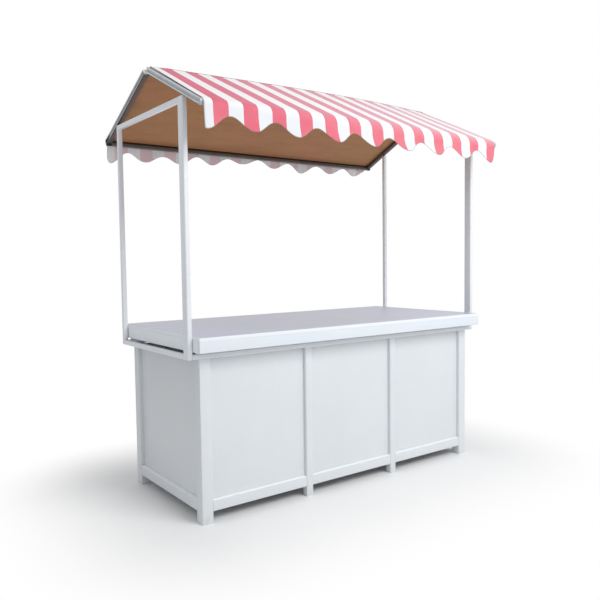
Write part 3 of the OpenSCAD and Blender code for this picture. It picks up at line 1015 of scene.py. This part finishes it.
canvas = striped_canvas(
    "striped_canvas", (RED, RED_FADED), (WHITE_DULL, WHITE), LIT_WHITE, LIT_RED, BLEACH_AND_SHEEN_RED
)
reverse = striped_canvas(
    "striped_canvas_reverse",
    (dim(REVERSE_RED_LIT, 0.93), REVERSE_RED_LIT),
    (dim(REVERSE_WHITE_LIT, 0.95), REVERSE_WHITE_LIT),
    REVERSE_WHITE_LIT,
    REVERSE_RED_LIT,
    REVERSE_RED_LIT,
)
print("finishes:", canvas.name, reverse.name)

# %% [markdown]
# The sheet gets its thickness from a Solidify modifier, which also gives the inside its own finish, paler as
# painted light that comes through the cloth.

# %% Cover
cover = new_piece(
    "striped_cover", cloth[..., :3], grid_faces(len(cloth), COLUMNS, False),
    flat_x=flat_x, flat_s=flat_s, hem=hem, free=free,
)
dress(cover, canvas, "cover_cloth", "front_cover", "back_cover", "front_valance", "back_valance")
cover.data.materials.append(reverse)
thick = cover.modifiers.new("thickness", "SOLIDIFY")
thick.thickness = CLOTH_T
thick.offset = 0.0
thick.material_offset = 1

# %% [markdown]
# ## Floor and light
#
# The photograph shows the stall alone on white. A broad pale floor carries its soft shadow and fades to white
# further out, where the camera sees it. The sky is an even soft white, and one large lamp from the front right
# makes the serving side brighter than the ends.

# %% Floor
FLOOR_R, FADE_FROM, FADE_TO = 9.0, 0.0, 0.95
FLOOR_RINGS, FLOOR_POINTS = 13, 48
FLOOR_LOW, FLOOR_HIGH = (0.93, 0.93, 0.93), (0.95, 0.95, 0.95)
WHITE_LIGHT = {"Color": (1, 1, 1, 1), "Strength": 1.0}
base_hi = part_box("back_bottom_rails")[1]
FOOTPRINT = (base_hi.x, base_hi.y, 0.0)

ring_r = np.concatenate([[0.02], np.linspace(0.5, FLOOR_R, FLOOR_RINGS - 1)])[:, None]
ring_a = np.radians(np.arange(FLOOR_POINTS) * 360.0 / FLOOR_POINTS)
disc = grid_points(ring_r * np.cos(ring_a), ring_r * np.sin(ring_a), 0.0)
faces = [face[::-1] for face in grid_faces(FLOOR_RINGS, FLOOR_POINTS, True)]
floor = new_piece("floor", disc, faces + [list(range(FLOOR_POINTS))])


def sees_backdrop(tree):
    """1 for rays from the camera, off gloss or through glass, which see plain white, and 0 for the rest."""
    ray = tree.nodes.new("ShaderNodeLightPath")
    kinds = ("Is Camera Ray", "Is Glossy Ray", "Is Transmission Ray")
    return sum(Field(tree, ray.outputs[kind]) for kind in kinds).clip()


def pale_floor(name):
    """White matt floor that glows plain white, for the camera and for reflections, away from the stall:
    the distance from its footprint is the length of max(|p| - half, 0)."""
    finish, shader, place = new_finish(name, Roughness=0.9, Specular_IOR_Level=0.1)
    tree = finish.node_tree
    plug(shader, "Base Color", place.noise(1.5, 2.0).step(0.3, 0.7).blend(FLOOR_LOW, FLOOR_HIGH))
    away = place.add("VectorMath", {"operation": "ABSOLUTE"}, {0: place})
    away = away.add("VectorMath", {"operation": "SUBTRACT"}, {0: away, 1: FOOTPRINT})
    away = away.add("VectorMath", {"operation": "MAXIMUM"}, {0: away, 1: (0.0, 0.0, 0.0)})
    far = away.add("VectorMath", {"operation": "LENGTH"}, {0: away}, out="Value").step(FADE_FROM, FADE_TO)
    glow = place.add("Emission", values=WHITE_LIGHT)
    mixed = place.add("MixShader", values={0: far * sees_backdrop(tree), 2: glow})
    tree.links.new(shader.outputs[0], mixed.socket.node.inputs[1])
    output = next(node for node in tree.nodes if node.type == "OUTPUT_MATERIAL")
    tree.links.new(mixed.socket, output.inputs[0])
    return finish


floor.data.materials.append(pale_floor("pale_floor"))
print("floor of", FLOOR_R, "m, fading over", FADE_TO, "m from the stall")

# %% Light
SKY, SKY_STRENGTH = (0.97, 0.985, 1.0), 0.56
LAMP_AT, LAMP_AIM = Vector((1.1, -4.6, 4.4)), Vector((0.0, 0.0, 1.0))
LAMP_POWER, LAMP_SIZE = 173.0, (3.2, 2.4)

world = bpy.data.worlds.new("studio")
world.use_nodes = True
bpy.context.scene.world = world
tree = world.node_tree
tree.nodes.clear()
seen = sees_backdrop(tree)
sky = seen.add("Background", values={"Color": (*SKY, 1), "Strength": SKY_STRENGTH})
white = seen.add("Background", values=WHITE_LIGHT)
both = seen.add("MixShader", values={0: seen, 1: sky, 2: white})
tree.links.new(both.socket, tree.nodes.new("ShaderNodeOutputWorld").inputs[0])

lamp = bpy.data.lights.new("soft_lamp", "AREA")
lamp.shape = "RECTANGLE"
lamp.size, lamp.size_y = LAMP_SIZE
lamp.energy = LAMP_POWER
lamp_piece = bpy.data.objects.new("soft_lamp", lamp)
toward = (LAMP_AIM - LAMP_AT).to_track_quat("-Z", "Y")
lamp_piece.matrix_world = Matrix.Translation(LAMP_AT) @ toward.to_matrix().to_4x4()
bpy.context.scene.collection.objects.link(lamp_piece)
bpy.context.scene.view_settings.view_transform = "Standard"
print("sky", SKY_STRENGTH, "lamp", LAMP_POWER)

# %% [markdown]
# ## Last update
#
# The view layer is brought up to date at the end. The dressed stall has to keep the packed model's
# size.

# %% Update
bpy.context.view_layer.update()
